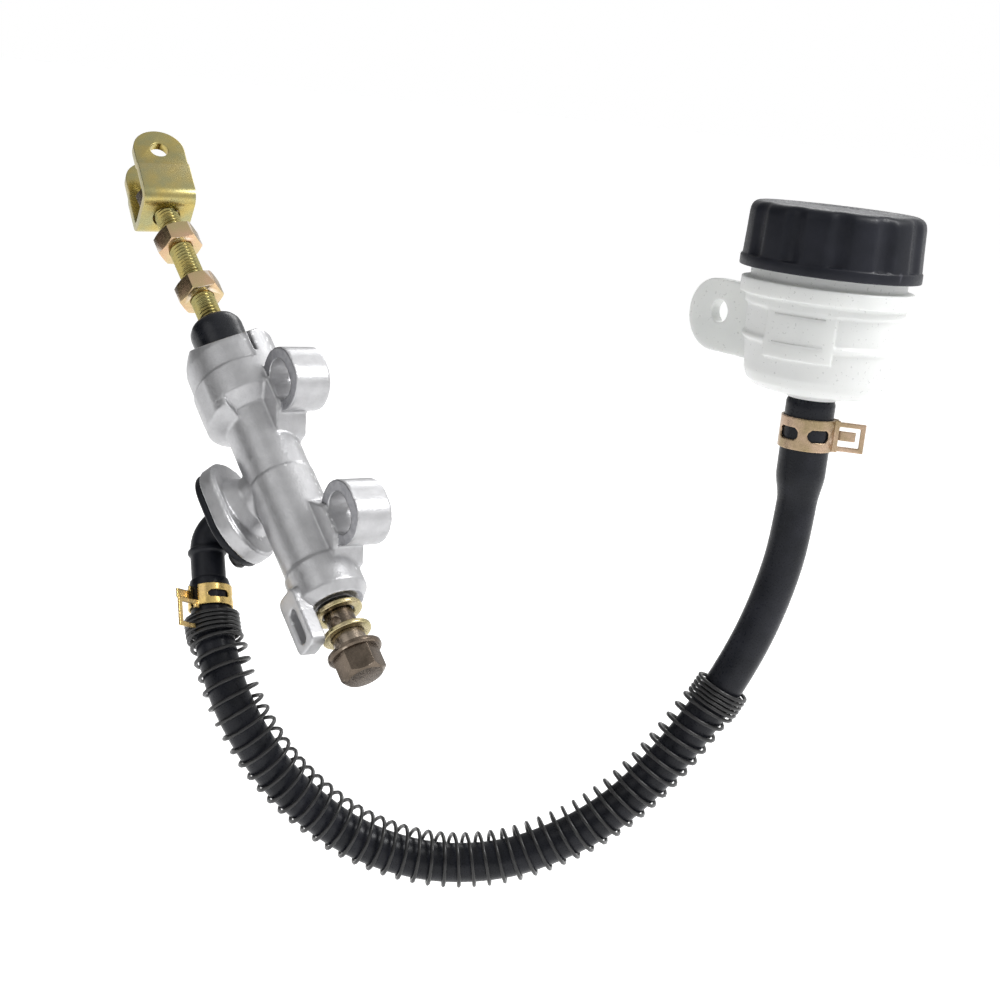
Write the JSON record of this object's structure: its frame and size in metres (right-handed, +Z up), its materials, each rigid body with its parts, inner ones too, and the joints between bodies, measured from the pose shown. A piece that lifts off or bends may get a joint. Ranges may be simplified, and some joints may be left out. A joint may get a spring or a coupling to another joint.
{
  "type": "rear brake master cylinder",
  "caption": "Rear brake master cylinder with slotted mounting lugs, adjustable clevis pushrod, banjo outlet and a remote screw-cap reservoir on a hose with a spring guard.",
  "frame": {"origin": "midway between the two mounting slots, on the face that bolts to the frame", "axes": "+Y out of the mounting face into the frame plate, +Z up with the reservoir upright, the cylinder axis in the XZ plane leaning 50 degrees from Z towards -X"},
  "size_m": [0.2381, 0.1775, 0.2189],
  "materials": {
    "cast_aluminium": "satin cast",
    "piston_aluminium": "anodised",
    "seal_rubber": "matt",
    "spring_steel": "bright",
    "black_steel": "black oxide",
    "boot_rubber": "satin",
    "yellow_zinc": "yellow zinc plate",
    "pink_zinc": "pink yellow zinc plate",
    "black_plastic": "moulded",
    "hose_rubber": "satin",
    "black_wire": "satin",
    "gold_clamp": "yellow zinc plate",
    "bronze_clamp": "olive zinc plate",
    "milky_plastic": "translucent",
    "natural_plastic": "moulded",
    "cap_plastic": "satin",
    "bronze_steel": "dark bronze",
    "olive_washer": "yellow zinc plate"
  },
  "bodies": {
    "housing": {"cylinder_housing": "cast_aluminium", "stop_washer": "spring_steel", "snap_ring": "black_steel", "dust_boot": "boot_rubber", "return_spring": "spring_steel", "inlet_elbow": "black_plastic", "inlet_o_ring": "seal_rubber", "inlet_screws": "black_steel", "feed_hose": "hose_rubber", "spring_guard": "black_wire", "lower_hose_clamp": "gold_clamp", "upper_hose_clamp": "bronze_clamp", "reservoir_body": "milky_plastic", "diaphragm": "seal_rubber", "inner_washer": "olive_washer"},
    "piston": {"piston": "piston_aluminium", "primary_cup": "seal_rubber", "secondary_cup": "seal_rubber", "spring_seat": "spring_steel"},
    "rod": {"pushrod": "yellow_zinc", "adjuster_nut": "pink_zinc"},
    "yoke_nuts": {"clevis_nut": "pink_zinc", "lock_nut": "pink_zinc"},
    "clevis": {"clevis": "yellow_zinc"},
    "outer_washer": {"outer_washer": "olive_washer"},
    "banjo_bolt": {"banjo_bolt": "bronze_steel"},
    "slip_ring": {"slip_ring": "natural_plastic"},
    "cap": {"reservoir_cap": "cap_plastic"}
  },
  "joints": [
    {"name": "piston_stroke", "type": "slide", "parent": "housing", "child": "piston", "axis": [0.766, 0, -0.6428], "range_m": [0, 0.009], "stiffness_N_per_m": 2000, "springref_m": -0.005, "deforming": ["return_spring"]},
    {"name": "rod_turn", "type": "hinge", "parent": "piston", "child": "rod", "pos_m": [-0.04733, -0.0116, 0.01361], "axis": [-0.766, 0, 0.6428], "range_deg": [-720, 720]},
    {"name": "yoke_travel", "type": "slide", "parent": "piston", "child": "yoke_nuts", "axis": [0.766, 0, -0.6428], "range_m": [-0.0026, 0.0026]},
    {"name": "yoke_lean", "type": "hinge", "parent": "yoke_nuts", "child": "clevis", "pos_m": [-0.09827, -0.0116, 0.05635], "axis": [0.631, -0.1908, 0.752], "range_deg": [0, 16]},
    {"name": "bolt_travel", "type": "slide", "parent": "housing", "child": "outer_washer", "axis": [0.766, 0, -0.6428], "range_m": [0, 0.0039]},
    {"name": "bolt_turn", "type": "hinge", "parent": "outer_washer", "child": "banjo_bolt", "pos_m": [0.02123, -0.0116, -0.04392], "axis": [0.766, 0, -0.6428], "range_deg": [0, 1080]},
    {"name": "cap_rise", "type": "slide", "parent": "housing", "child": "slip_ring", "axis": [0, 0, 1], "range_m": [0, 0.0061]},
    {"name": "cap_turn", "type": "hinge", "parent": "slip_ring", "child": "cap", "pos_m": [0.086, 0.106, 0.07], "axis": [0, 0, 1], "range_deg": [0, 720]}
  ],
  "couplings": [
    {"joint": "yoke_travel", "follows": "rod_turn", "m_per_rad": 0.00019894},
    {"joint": "bolt_travel", "follows": "bolt_turn", "m_per_rad": 0.00019894},
    {"joint": "cap_rise", "follows": "cap_turn", "m_per_rad": 0.00047746}
  ]
}
